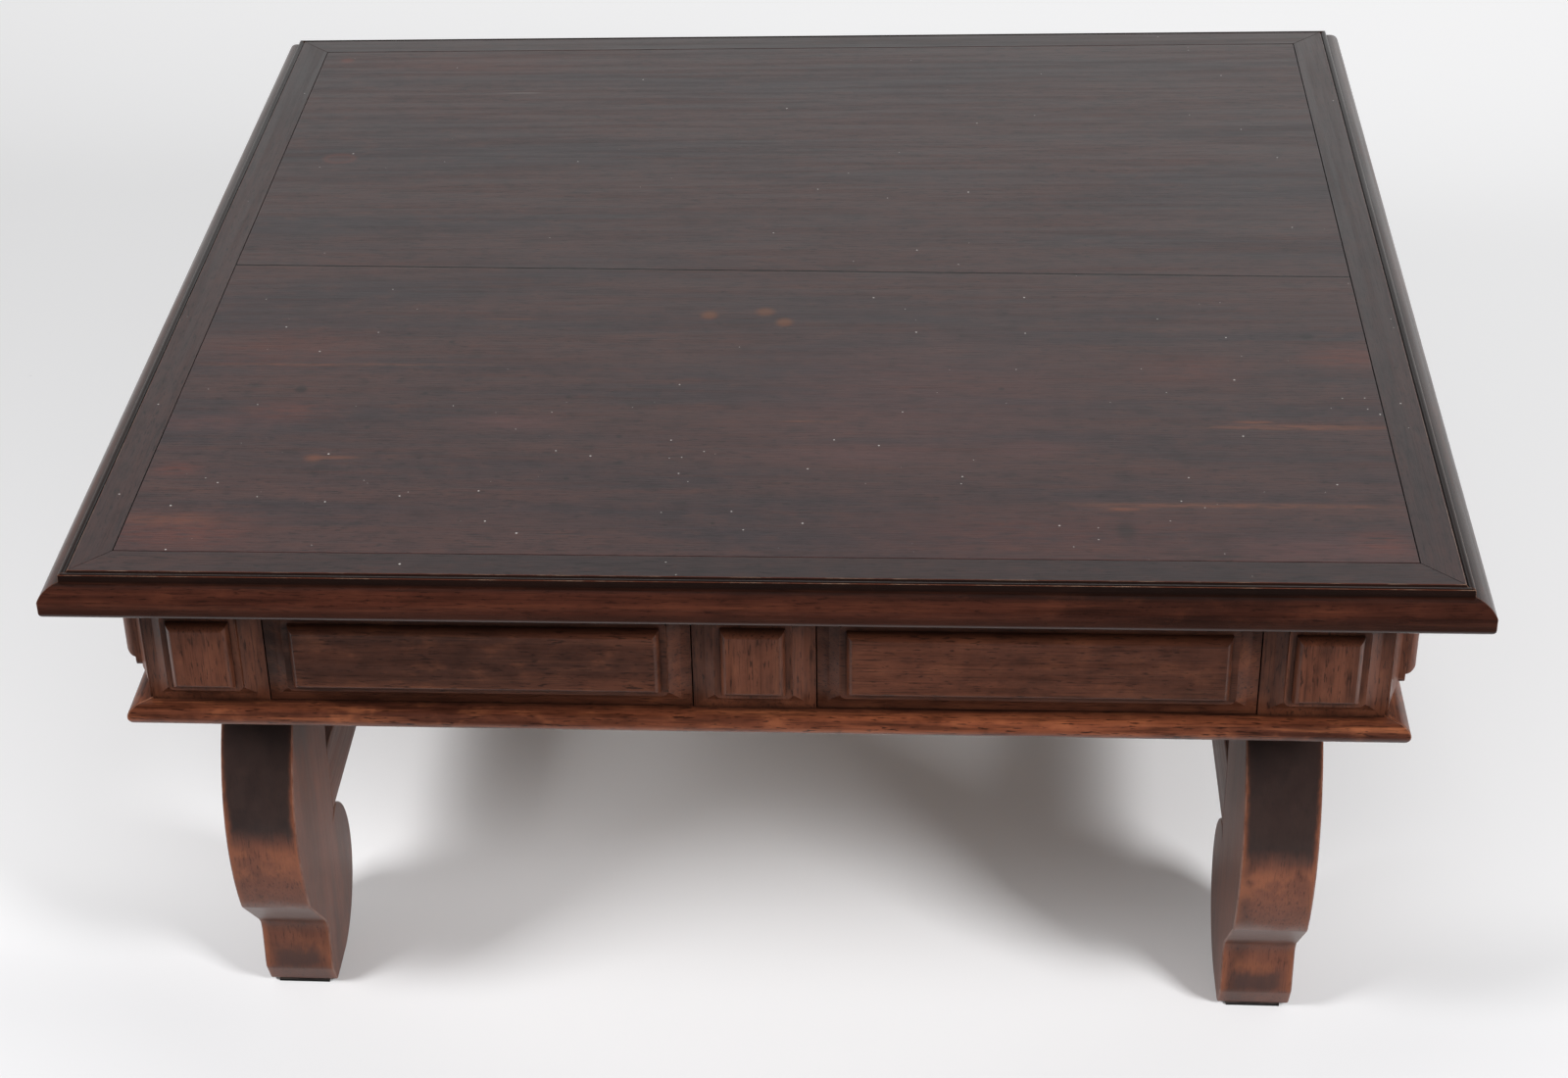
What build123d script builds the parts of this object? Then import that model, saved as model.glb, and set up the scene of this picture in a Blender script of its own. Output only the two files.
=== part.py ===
"""Square kang table: a framed panel top on a drawer case, carried by two scroll-footed side frames.

Axes: +X right, +Y back, +Z up.  The origin is on the floor below the middle of the top, and the
drawers open towards -Y.  All sizes are in millimetres.
"""
from build123d import *
import math
import os

os.makedirs("parts", exist_ok=True)

# ---------------------------------------------------------------- overall sizes
top_width = 1000.0            # along X
top_depth = 1000.0            # along Y
table_height = 490.0
top_thickness = 36.0
case_height = 97.0            # from the base frame up to the top frame
top_overhang = 57.0           # from the top's outermost line in to the case's faces

# ---------------------------------------------------------------- framed top
frame_face = 46.0             # visible width of a frame member, moulding included
frame_shelf = 44.0            # how far its lower part runs in below the panel
panel_thickness = 14.0
panel_tongue = 6.0            # thickness of the tongue round the panel
tongue_length = 8.0
tongue_clearance = 0.1        # over the tongues of the panel and the dust boards
groove_room = 1.0             # space left for the panel to swell
panel_gap = 0.6               # open joint between the panel and the frame
board_joint_skew = 25.0       # how far the joint of the two boards runs out of square
board_joint_gap = 0.3
edge_width = 19.5             # outermost line in to the quirk that ends the flat of the frame
quirk_width = 1.4             # the groove beside the bead
quirk_depth = 1.6
bead_width = 4.2
bead_crown = 0.8              # how far the bead rises over its chord
bead_drop = 0.9               # top face to the outer edge of the bead
fillet_lean = 0.5             # how far the upright fillet below the bead leans out
fillet_foot = 6.2             # top face to the foot of the fillet
ovolo_foot = 15.5             # top face to where the ovolo reaches furthest out
ovolo_bulge = 2.6             # how far the ovolo stands over its chord
edge_upright = 8.5            # plain face below the ovolo
edge_round = 5.0              # radius of the lower corner
underside_run = 26.0          # how far in the underside slopes down to the frame's full thickness
mitre_tenon_width = 30.0
mitre_tenon_thickness = 12.0
mitre_tenon_reach = 26.0      # outermost line to the tip of the tenon
batten_width = 40.0
dovetail_height = 3.5
dovetail_neck = 24.0
dovetail_flare = 3.0          # on each side
dovetail_clearance = 0.1
batten_tenon_width = 26.0
batten_tenon_thickness = 10.0
batten_tenon_length = 24.0

# ---------------------------------------------------------------- drawer case
block_width = 88.0            # corner blocks and middle blocks, seen from outside
wall_thickness = 24.0         # uprights, behind the face plane
panel_wall = 18.0             # long panels and drawer fronts, behind the face plane
stub_width = 40.0             # stub tenons of the uprights
stub_thickness = 12.0
stub_setback = 6.0            # face plane to the stub tenon
stub_up = 10.0
stub_down = 9.0
edge_tongue_thickness = 8.0   # tongues at the ends of the fixed long panels
edge_tongue_length = 6.0
edge_tongue_setback = 5.0

# raised field on every block, panel and drawer front
splay_foot = 2.4              # upright edge below the splay
splay_width = 16.0
splay_rise = 9.9              # face plane to the splay's inner edge
splay_hollow = 1.2            # how deep the splay is dished
plate_rise = 14.4             # face plane to the flat fillet round the field
plate_margin = 5.0            # width of that flat fillet
plate_corner = 5.0
field_rise = 22.4             # face plane to the field
field_upright = 1.5           # upright edge below the field's roll
field_roll = 4.5              # run of the rolled edge round the field
field_swell = 1.5             # how far the roll stands over its chord, straight up

# ---------------------------------------------------------------- base frame
base_thickness = 15.0
base_nose = 17.5              # how far its half-round nose stands out from the case
base_member = 110.0           # member width, nose included
dust_thickness = 8.0
dust_tongue = 4.0
dust_tongue_length = 8.0

# ---------------------------------------------------------------- drawers
drawer_gap = 1.0              # round each drawer front
drawer_box_inset = 4.0        # end of a drawer front in to the box side
drawer_box_length = 540.0     # behind the drawer front
drawer_side_thickness = 12.0
drawer_back_thickness = 10.0
drawer_back_setin = 6.0       # the sides run on past the back
drawer_back_drop = 6.0        # the back is lower than the sides
drawer_bottom_thickness = 6.0
drawer_bottom_rise = 6.0      # lower edge of a side up to the bottom board
drawer_groove = 5.0
drawer_head_room = 4.0        # over the sides, below the battens
tail_length = 10.0
tail_neck = 14.0
tail_flare = 2.0              # on each edge
tail_count = 3
slide_clearance = 0.3
guide_clearance = 0.5
runner_height = 6.0
runner_width = 20.0
guide_height = 24.0
guide_width = 24.0
stop_width = 60.0
stop_depth = 20.0
stop_clearance = 0.5

# ---------------------------------------------------------------- side frames: bearer, legs, stretcher
leg_inset = 30.0              # case face in to the legs, on both outer faces
leg_thickness = 56.0
leg_reach = 130.0             # knee back to the shoulder of the stretcher
neck_lean = 25.0              # how far the leg's rear edge leans over above the stretcher
knee_drop = 116.0             # leg top down to the foremost point of the knee
knee_upper_radius = 145.0
knee_lower_radius = 190.0
knee_corner_height = 124.0
knee_corner_radius = 6.0
ankle_setback = 67.0          # knee back to the ankle
ankle_slope = 47.0            # degrees, underside of the knee
ankle_radius = 25.0
toe_height = 24.0
toe_out = 3.0
toe_radius = 12.0
sole_setback = 75.0           # knee back to the front of the sole
sole_radius = 4.0
lobe_radius = 70.0            # scroll behind the foot
lobe_setback = 110.0          # knee back to the centre of the scroll
lobe_bite = 5.5               # crown of the scroll above the stretcher's lower edge
notch_mouth = 11.0            # notch between scroll and stretcher, along Y
notch_depth = 7.0
notch_drop = 6.5
leg_tenon_width = 64.0
leg_tenon_thickness = 28.0
leg_tenon_height = 18.0
bearer_height = 26.0
bearer_setback = 3.0          # knee back to the end of the bearer
bearer_nose = 16.0            # radius of the bearer's lower corners
stretcher_height = 59.0
stretcher_tenon_height = 40.0
stretcher_tenon_thickness = 20.0
stretcher_tenon_length = 35.0
peg_sides = 8                 # the pegs are whittled, not turned
peg_radius = 5.0              # over the corners
peg_clearance = 0.1
peg_depth = 20.0              # into the bearer
peg_spacing = 200.0
pad_thickness = 3.0
pad_width = 42.0
pad_length = 45.0

# ---------------------------------------------------------------- levels and plan, worked out
case_width = top_width - 2 * top_overhang
case_depth = top_depth - 2 * top_overhang
case_top = table_height - top_thickness
case_bottom = case_top - case_height
case_middle = (case_top + case_bottom) / 2
base_under = case_bottom - base_thickness
leg_top = base_under - bearer_height
frame_width = frame_face + frame_shelf
SIDES = ("front", "right", "back", "left")
TURN = {"front": 0, "right": 90, "back": 180, "left": -90}


def box(x0, x1, y0, y1, z0, z1):
    """A block between two opposite corners."""
    return Pos((x0 + x1) / 2, (y0 + y1) / 2, (z0 + z1) / 2) * Box(x1 - x0, y1 - y0, z1 - z0)


def both(x0, x1, y0, y1, z0, z1):
    """A block and its mirror image across X = 0."""
    return box(x0, x1, y0, y1, z0, z1) + box(-x1, -x0, y0, y1, z0, z1)


def run_length(side, width, depth):
    """Length of one side of a rectangle in plan."""
    return width if side in ("front", "back") else depth


def on_side(side, shape, width, depth):
    """Turn a shape drawn for the front, with the outer face at y = 0, to one side of the table."""
    reach = (depth if side in ("front", "back") else width) / 2
    return Rot(0, 0, TURN[side]) * Pos(0, -reach, 0) * shape


def mitred(section, length, width, z0, z1):
    """Run a section (drawn in YZ, outer face at y = 0) along X and mitre both ends."""
    bar = Pos(-length / 2, 0, 0) * extrude(section, length)
    plan = Polygon(
        (-length / 2, 0), (length / 2, 0),
        (length / 2 - width, width), (-length / 2 + width, width), align=None)
    return bar & (Pos(0, 0, z0) * extrude(plan, z1 - z0))


# ================================================================ framed top
def top_section():
    """Section of a top frame member: moulded edge outside, groove and shelf inside."""
    z = table_height
    quirk = (edge_width - quirk_width, z - quirk_depth)
    bead_end = (quirk[0] - bead_width, z - bead_drop)
    fillet_end = (bead_end[0] - fillet_lean, z - fillet_foot)
    edge_low = z - ovolo_foot - edge_upright
    tongue_top = z - panel_thickness + panel_tongue
    panel_under = z - panel_thickness
    groove_end = frame_face - tongue_length - groove_room
    with BuildSketch(Plane.YZ) as sketch:
        with BuildLine():
            Line((edge_width, z), quirk)
            SagittaArc(quirk, bead_end, -bead_crown)
            Line(bead_end, fillet_end)
            SagittaArc(fillet_end, (0, z - ovolo_foot), -ovolo_bulge)
            Line((0, z - ovolo_foot), (0, edge_low))
            RadiusArc((0, edge_low), (edge_round, edge_low - edge_round), -edge_round)
            Polyline(
                (edge_round, edge_low - edge_round), (edge_round + underside_run, case_top),
                (frame_width, case_top), (frame_width, panel_under), (groove_end, panel_under),
                (groove_end, tongue_top), (frame_face, tongue_top), (frame_face, z),
                (edge_width, z))
        make_face()
    return sketch.sketch


def mitre_tenons(length):
    """Tenons at both ends of a front or back member, reaching into the side members."""
    middle = frame_face + frame_shelf / 2 - mitre_tenon_thickness / 2
    z = (case_top + table_height - panel_thickness) / 2
    return both(
        length / 2 - frame_width, length / 2 - mitre_tenon_reach,
        middle - mitre_tenon_width / 2, middle + mitre_tenon_width / 2,
        z - mitre_tenon_thickness / 2, z + mitre_tenon_thickness / 2)


def batten_places():
    """Each batten lies over the middle of a drawer, where it also keeps the drawer from tipping."""
    return {"left": -drawer_middle(), "right": drawer_middle()}


def batten(x, clearance=0.0):
    """A batten with its dovetail key on top and a tenon at each end."""
    half = top_depth / 2 - frame_width
    under = table_height - panel_thickness
    bar = box(x - batten_width / 2, x + batten_width / 2, -half, half, case_top, under)
    neck = dovetail_neck / 2 + clearance
    key = Polygon(
        (x - neck, under), (x + neck, under),
        (x + neck + dovetail_flare, under + dovetail_height + clearance),
        (x - neck - dovetail_flare, under + dovetail_height + clearance), align=None)
    key = Pos(0, half, 0) * extrude(Plane.XZ * key, 2 * half)
    middle = (case_top + under) / 2
    tenons = box(
        x - batten_tenon_width / 2, x + batten_tenon_width / 2,
        -half - batten_tenon_length, half + batten_tenon_length,
        middle - batten_tenon_thickness / 2, middle + batten_tenon_thickness / 2)
    return bar + key + tenons


def top_board(rear):
    """One of the two boards of the panel, tongued into the frame on three edges."""
    half_x = top_width / 2 - frame_face - panel_gap
    half_y = top_depth / 2 - frame_face - panel_gap
    under = table_height - panel_thickness
    field = box(-half_x, half_x, -half_y, half_y, under, table_height)
    reach = tongue_length + panel_gap
    tongue = box(
        -half_x - reach, half_x + reach, -half_y - reach, half_y + reach,
        under, under + panel_tongue - tongue_clearance)
    gap = board_joint_gap / 2 if rear else -board_joint_gap / 2
    edge = (half_y + 2 * reach) * (1 if rear else -1)
    span = half_x + 2 * reach
    share = Polygon(
        (-span, gap), (span, gap - board_joint_skew), (span, edge), (-span, edge), align=None)
    board = (field + tongue) & extrude(Pos(0, 0, under) * share, panel_thickness, dir=(0, 0, 1))
    for x in batten_places().values():
        board = board - batten(x, dovetail_clearance)
    return board


def top_frame():
    """Four mitred members; the front and back ones carry the tenons."""
    tenons = {
        side: on_side(side, mitre_tenons(top_width), top_width, top_depth)
        for side in ("front", "back")}
    stubs = all_stubs()
    members = {}
    for side in SIDES:
        length = run_length(side, top_width, top_depth)
        bar = mitred(top_section(), length, frame_width, case_top, table_height)
        bar = on_side(side, bar, top_width, top_depth)
        if side in tenons:
            bar = bar + tenons[side]
            for x in batten_places().values():
                bar = bar - batten(x)
        else:
            bar = bar - tenons["front"] - tenons["back"]
        members[side] = bar - stubs
    return members


# ================================================================ raised fields
def sloped_slab(length, across, upright, run, rise, swell):
    """A slab with an upright edge and a curved slope along two sides, drawn flat: Z is the relief.

    The slope rolls over its chord by a positive swell and is dished below it by a negative one.
    """
    half = length / 2
    with BuildSketch(Plane.XZ) as sketch:
        with BuildLine():
            for s in (-1, 1):
                Line((s * half, 0), (s * half, upright))
                ThreePointArc(
                    (s * half, upright),
                    (s * (half - run / 2), (upright + rise) / 2 + swell),
                    (s * (half - run), rise))
            Line((-half + run, rise), (half - run, rise))
            Line((-half, 0), (half, 0))
        make_face()
    return Pos(0, across / 2, 0) * extrude(sketch.sketch, across)


def mitred_slopes(length, height, *slope):
    """Slopes along all four sides of a rectangle, which meet in mitres at its corners."""
    return sloped_slab(length, height, *slope) & (Rot(0, 0, 90) * sloped_slab(height, length, *slope))


def raised_field(length, height):
    """Mitred splays, a flat fillet with rounded corners, and a field with rolled edges; Z is the relief."""
    splay = mitred_slopes(length, height, splay_foot, splay_width, splay_rise, -splay_hollow)
    plate_x = length - 2 * splay_width
    plate_y = height - 2 * splay_width
    plate = extrude(RectangleRounded(plate_x, plate_y, plate_corner), plate_rise)
    field = mitred_slopes(
        plate_x - 2 * plate_margin, plate_y - 2 * plate_margin,
        field_upright, field_roll, field_rise - plate_rise, field_swell)
    return splay + plate + Pos(0, 0, plate_rise) * field


def faced_slab(length, height, thickness):
    """A board with a raised field, drawn for the front: face plane at y = 0, relief towards -Y."""
    slab = box(-length / 2, length / 2, 0, thickness, -height / 2, height / 2)
    relief = Rot(90, 0, 0) * raised_field(length, height)
    return slab + relief


# ================================================================ uprights and fixed panels
def upright_places(side):
    """Middles of the three uprights along one side."""
    reach = run_length(side, case_width, case_depth) / 2 - block_width / 2
    return (-reach, 0.0, reach)


def panel_length(side):
    """Clear distance between two uprights."""
    return (run_length(side, case_width, case_depth) - 3 * block_width) / 2


def panel_places(side):
    """Middles of the two long panels along one side."""
    reach = block_width / 2 + panel_length(side) / 2
    return (-reach, reach)


def stub_tenons(x):
    """Tenons at the head and foot of an upright."""
    return box(
        x - stub_width / 2, x + stub_width / 2, stub_setback, stub_setback + stub_thickness,
        case_bottom - stub_down, case_top + stub_up)


def all_stubs():
    """Every stub tenon of the case, as cutters for the two frames."""
    stubs = Part()
    for side in SIDES:
        for x in upright_places(side):
            stubs += on_side(side, stub_tenons(x), case_width, case_depth)
    return stubs


def edge_tongues(side, x):
    """Tongues at both ends of one fixed panel."""
    reach = panel_length(side) / 2 + edge_tongue_length
    return box(
        x - reach, x + reach, edge_tongue_setback, edge_tongue_setback + edge_tongue_thickness,
        case_bottom, case_top)


def upright(side, x):
    """One upright of a side: faced block with stub tenons, grooved where a fixed panel ends."""
    block = Pos(x, 0, case_middle) * faced_slab(block_width, case_height, wall_thickness)
    block = block + stub_tenons(x)
    if side != "front":
        for middle in panel_places(side):
            block = block - edge_tongues(side, middle)
    return on_side(side, block, case_width, case_depth)


def corner_post(first, second):
    """Two uprights in one L-shaped post, at the right-hand end of the first side."""
    return upright(first, upright_places(first)[2]) + upright(second, upright_places(second)[0])


def fixed_panel(side, x):
    """A long panel between two uprights, with a tongue at each end."""
    panel = Pos(x, 0, case_middle) * faced_slab(panel_length(side), case_height, panel_wall)
    panel = panel + edge_tongues(side, x)
    return on_side(side, panel, case_width, case_depth)


# ================================================================ base frame
def base_section():
    """Section of a base member: half-round nose outside, groove for the dust board inside."""
    r = base_thickness / 2
    groove_top = case_bottom - dust_thickness + dust_tongue
    groove_under = case_bottom - dust_thickness
    groove_end = base_member - dust_tongue_length - groove_room
    with BuildSketch(Plane.YZ) as sketch:
        with BuildLine():
            ThreePointArc((r, case_bottom), (0, case_bottom - r), (r, base_under))
            Polyline(
                (r, base_under), (base_member, base_under), (base_member, groove_under),
                (groove_end, groove_under), (groove_end, groove_top), (base_member, groove_top),
                (base_member, case_bottom), (r, case_bottom))
        make_face()
    return sketch.sketch


def base_frame():
    """Four mitred members with mortises for the uprights and holes for the pegs."""
    width = case_width + 2 * base_nose
    depth = case_depth + 2 * base_nose
    members = {}
    for side in SIDES:
        bar = mitred(
            base_section(), run_length(side, width, depth), base_member, base_under, case_bottom)
        bar = on_side(side, bar, width, depth)
        members[side] = bar - all_stubs() - peg_row(peg_radius + peg_clearance)
    return members


def dust_board(rear):
    """One of the two thin boards that close the case below the drawers."""
    half_x = case_width / 2 + base_nose - base_member
    half_y = case_depth / 2 + base_nose - base_member
    under = case_bottom - dust_thickness
    reach = dust_tongue_length
    y0, y1 = (0.0, half_y) if rear else (-half_y, 0.0)
    tongue_y0, tongue_y1 = (0.0, half_y + reach) if rear else (-half_y - reach, 0.0)
    board = box(-half_x, half_x, y0, y1, under, case_bottom)
    return board + box(
        -half_x - reach, half_x + reach, tongue_y0, tongue_y1,
        under, under + dust_tongue - tongue_clearance)


# ================================================================ drawers and what they run on
def drawer_middle():
    """Distance of a drawer's middle from the middle of the table."""
    return panel_places("front")[1]


def drawer_front_length():
    return panel_length("front") - 2 * drawer_gap


def drawer_half():
    """Half the width of a drawer box, over its sides."""
    return drawer_front_length() / 2 - drawer_box_inset


def tails():
    """Dovetails at the front end of a drawer side, drawn in YZ; they widen towards the front."""
    low = case_bottom + runner_height + slide_clearance
    high = case_top - drawer_head_room
    pitch = (high - low) / tail_count
    shapes = Sketch()
    for i in range(tail_count):
        z = low + (i + 0.5) * pitch
        neck = tail_neck / 2
        tip = neck + tail_flare
        shapes += Polygon(
            (panel_wall, z - neck), (panel_wall, z + neck),
            (panel_wall - tail_length, z + tip), (panel_wall - tail_length, z - tip), align=None)
    return Plane.YZ * shapes


def drawer_parts():
    """The five boards of a drawer, with its middle at x = 0 and the case's face plane at y = 0."""
    half = drawer_half()
    inner = half - drawer_side_thickness
    low = case_bottom + runner_height + slide_clearance
    high = case_top - drawer_head_room
    end = panel_wall + drawer_box_length
    floor_low = low + drawer_bottom_rise
    floor_high = floor_low + drawer_bottom_thickness
    grooved = inner + drawer_groove
    front_groove = panel_wall - drawer_groove

    bottom = box(-grooved, grooved, front_groove, end, floor_low, floor_high)
    back_y0 = end - drawer_back_setin - drawer_back_thickness
    back = box(
        -grooved, grooved, back_y0, back_y0 + drawer_back_thickness,
        floor_high, high - drawer_back_drop)
    housing = box(-grooved, grooved, back_y0, back_y0 + drawer_back_thickness, floor_high, high)

    side_tails = Pos(inner, 0, 0) * extrude(tails(), drawer_side_thickness)
    right = box(inner, half, panel_wall, end, low, high) + side_tails - bottom - housing
    left = mirror(right, about=Plane.YZ)

    height = case_height - 2 * drawer_gap
    front = Pos(0, 0, case_middle) * faced_slab(drawer_front_length(), height, panel_wall)
    front = front - side_tails - mirror(side_tails, about=Plane.YZ) - bottom
    return {"front": front, "side_left": left, "side_right": right, "back": back, "bottom": bottom}


def drawer(middle):
    """All boards of one drawer, in place."""
    return {name: Pos(middle, -case_depth / 2, 0) * part for name, part in drawer_parts().items()}


def guide(x0, x1):
    """A strip on the case's bottom that keeps a drawer side straight."""
    half = case_depth / 2 - wall_thickness
    return box(x0, x1, -half, half, case_bottom, case_bottom + guide_height)


def runner(x0, x1):
    """A strip that a drawer side slides on."""
    front = -case_depth / 2 + panel_wall + drawer_gap
    return box(
        x0, x1, front, front + drawer_box_length, case_bottom, case_bottom + runner_height)


def stop_block(middle):
    """A block on the dust board that the shut drawer comes to rest against."""
    y = -case_depth / 2 + panel_wall + drawer_box_length + stop_clearance
    return box(
        middle - stop_width / 2, middle + stop_width / 2, y, y + stop_depth,
        case_bottom, case_bottom + guide_height)


# ================================================================ side frames
def knee_front():
    return case_depth / 2 - leg_inset


def stretcher_bottom():
    return pad_thickness + 2 * lobe_radius - lobe_bite


def leg_head():
    """Where the head of a leg starts and ends, as distances from the table's middle."""
    knee = knee_front()
    rear = knee - leg_reach - neck_lean
    front = knee - knee_upper_radius + math.sqrt(knee_upper_radius ** 2 - knee_drop ** 2)
    return rear, front


def arc_through(centre, radius, z0, z1):
    """Arc on the outer side of a circle between two heights."""
    points = []
    for z in (z0, (z0 + z1) / 2, z1):
        points.append((centre[0] + math.sqrt(radius ** 2 - (z - centre[1]) ** 2), z))
    return ThreePointArc(*points)


def leg_profile():
    """Side outline of a leg: Y is the distance from the table's middle towards its end."""
    knee = knee_front()
    knee_z = leg_top - knee_drop
    shoulder = knee - leg_reach
    head_rear, head_front = leg_head()
    low = stretcher_bottom()
    sole = pad_thickness
    ankle = knee - ankle_setback
    lobe_y = knee - lobe_setback
    lobe_z = sole + lobe_radius
    with BuildSketch() as sketch:
        with BuildLine():
            upper = arc_through((knee - knee_upper_radius, knee_z), knee_upper_radius, leg_top, knee_z)
            lower = arc_through(
                (knee - knee_lower_radius, knee_z), knee_lower_radius, knee_z, knee_corner_height)
            corner = lower @ 1
            fall = (corner.X - ankle) * math.tan(math.radians(ankle_slope))
            FilletPolyline(
                (corner.X, corner.Y), (ankle, corner.Y - fall), (ankle + toe_out, toe_height),
                (knee - sole_setback, sole), (lobe_y, sole),
                radius=(ankle_radius, toe_radius, sole_radius))
            mouth_y = shoulder - notch_mouth
            mouth_z = lobe_z + math.sqrt(lobe_radius ** 2 - (mouth_y - lobe_y) ** 2)
            ThreePointArc((lobe_y, sole), (lobe_y - lobe_radius, lobe_z), (mouth_y, mouth_z))
            Polyline(
                (mouth_y, mouth_z), (shoulder + notch_depth, low - notch_drop), (shoulder, low),
                (shoulder, low + stretcher_height), (head_rear, leg_top), upper @ 0)
        make_face()
    corner_vertex = sketch.sketch.vertices().sort_by_distance((corner.X, corner.Y, 0))[0]
    return fillet(corner_vertex, knee_corner_radius)


def leg_tenon(x0):
    """Tenon at the head of the back right leg."""
    middle_x = x0 + leg_thickness / 2
    middle_y = sum(leg_head()) / 2
    return box(
        middle_x - leg_tenon_thickness / 2, middle_x + leg_tenon_thickness / 2,
        middle_y - leg_tenon_width / 2, middle_y + leg_tenon_width / 2,
        leg_top, leg_top + leg_tenon_height)


def side_frame_x():
    """Inner face of the right side frame."""
    return case_width / 2 - leg_inset - leg_thickness


def leg():
    """The back right leg."""
    x0 = side_frame_x()
    plank = Pos(x0, 0, 0) * extrude(Plane.YZ * leg_profile(), leg_thickness)
    return plank + leg_tenon(x0) - stretcher()


def stretcher():
    """The right stretcher, flush with the legs, with a tenon at each end."""
    x0 = side_frame_x()
    half = knee_front() - leg_reach
    low = stretcher_bottom()
    bar = box(x0, x0 + leg_thickness, -half, half, low, low + stretcher_height)
    middle_x = x0 + leg_thickness / 2
    middle_z = low + stretcher_height / 2
    return bar + box(
        middle_x - stretcher_tenon_thickness / 2, middle_x + stretcher_tenon_thickness / 2,
        -half - stretcher_tenon_length, half + stretcher_tenon_length,
        middle_z - stretcher_tenon_height / 2, middle_z + stretcher_tenon_height / 2)


def peg_row(radius):
    """Pegs that fix both bearers under the base frame."""
    pegs = Part()
    middle = side_frame_x() + leg_thickness / 2
    peg = extrude(RegularPolygon(radius, peg_sides), base_thickness + peg_depth)
    for x in (-middle, middle):
        for y in (-peg_spacing, 0, peg_spacing):
            pegs += Pos(x, y, base_under - peg_depth) * peg
    return pegs


def bearer():
    """The right bearer, which lies under the base frame and takes the legs' tenons."""
    x0 = side_frame_x()
    half = knee_front() - bearer_setback
    bar = box(x0, x0 + leg_thickness, -half, half, leg_top, base_under)
    ends = bar.faces().filter_by(Axis.Y).edges().filter_by(Axis.X)
    bar = fillet(ends.group_by(Axis.Z)[0], bearer_nose)
    tenon = leg_tenon(x0)
    return bar - tenon - mirror(tenon, about=Plane.XZ) - peg_row(peg_radius + peg_clearance)


def foot_pad():
    """Thin pad under the back right leg."""
    middle = side_frame_x() + leg_thickness / 2
    end = knee_front() - sole_setback
    return box(middle - pad_width / 2, middle + pad_width / 2, end - pad_length, end, 0, pad_thickness)


# ================================================================ assembly
def at_corners(name, part):
    """The back right part and its three mirror images, named by corner."""
    front = mirror(part, about=Plane.XZ)
    return {
        f"{name}_back_right": part,
        f"{name}_back_left": mirror(part, about=Plane.YZ),
        f"{name}_front_right": front,
        f"{name}_front_left": mirror(front, about=Plane.YZ)}


def build_nodes():
    nodes = {}
    for side, member in top_frame().items():
        nodes[f"top_frame_{side}"] = member
    nodes["top_board_front"] = top_board(rear=False)
    nodes["top_board_rear"] = top_board(rear=True)
    for side, x in batten_places().items():
        nodes[f"top_batten_{side}"] = batten(x)

    nodes["corner_post_front_right"] = corner_post("front", "right")
    nodes["corner_post_back_right"] = corner_post("right", "back")
    nodes["corner_post_back_left"] = corner_post("back", "left")
    nodes["corner_post_front_left"] = corner_post("left", "front")
    for side in SIDES:
        nodes[f"middle_block_{side}"] = upright(side, 0.0)
    nodes["side_panel_right_front"] = fixed_panel("right", panel_places("right")[0])
    nodes["side_panel_right_rear"] = fixed_panel("right", panel_places("right")[1])
    nodes["side_panel_left_rear"] = fixed_panel("left", panel_places("left")[0])
    nodes["side_panel_left_front"] = fixed_panel("left", panel_places("left")[1])
    nodes["back_panel_right"] = fixed_panel("back", panel_places("back")[0])
    nodes["back_panel_left"] = fixed_panel("back", panel_places("back")[1])

    for side, member in base_frame().items():
        nodes[f"base_frame_{side}"] = member
    nodes["dust_board_front"] = dust_board(rear=False)
    nodes["dust_board_rear"] = dust_board(rear=True)

    inner = drawer_middle() - drawer_half() - guide_clearance
    outer = drawer_middle() + drawer_half() + guide_clearance
    nodes["drawer_guide_centre"] = guide(-inner, inner)
    nodes["drawer_guide_right"] = guide(outer, outer + guide_width)
    nodes["drawer_guide_left"] = guide(-outer - guide_width, -outer)
    nodes["drawer_runner_right_inner"] = runner(inner, inner + runner_width)
    nodes["drawer_runner_right_outer"] = runner(outer - runner_width, outer)
    nodes["drawer_runner_left_inner"] = runner(-inner - runner_width, -inner)
    nodes["drawer_runner_left_outer"] = runner(-outer, -outer + runner_width)
    nodes["drawer_stops"] = stop_block(-drawer_middle()) + stop_block(drawer_middle())
    for side, x in (("left", -drawer_middle()), ("right", drawer_middle())):
        for name, part in drawer(x).items():
            nodes[f"drawer_{side}_{name}"] = part

    for name, part in (("bearer", bearer()), ("stretcher", stretcher())):
        nodes[f"{name}_right"] = part
        nodes[f"{name}_left"] = mirror(part, about=Plane.YZ)
    nodes["bearer_pegs"] = peg_row(peg_radius)
    nodes.update(at_corners("leg", leg()))
    nodes.update(at_corners("foot_pad", foot_pad()))
    return nodes


for node_name, node in build_nodes().items():
    export_step(node, f"parts/{node_name}.step")
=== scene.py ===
"""Dresses the kang table: dark worn hardwood, soft arrises, dust and dirt, painted shade and highlights,
a paper floor, two lamps.

Everything is in metres in the CAD's frame: +X right, +Y back, +Z up, origin on the floor.
"""
import bpy
import math
from mathutils import Matrix, Vector


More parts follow.
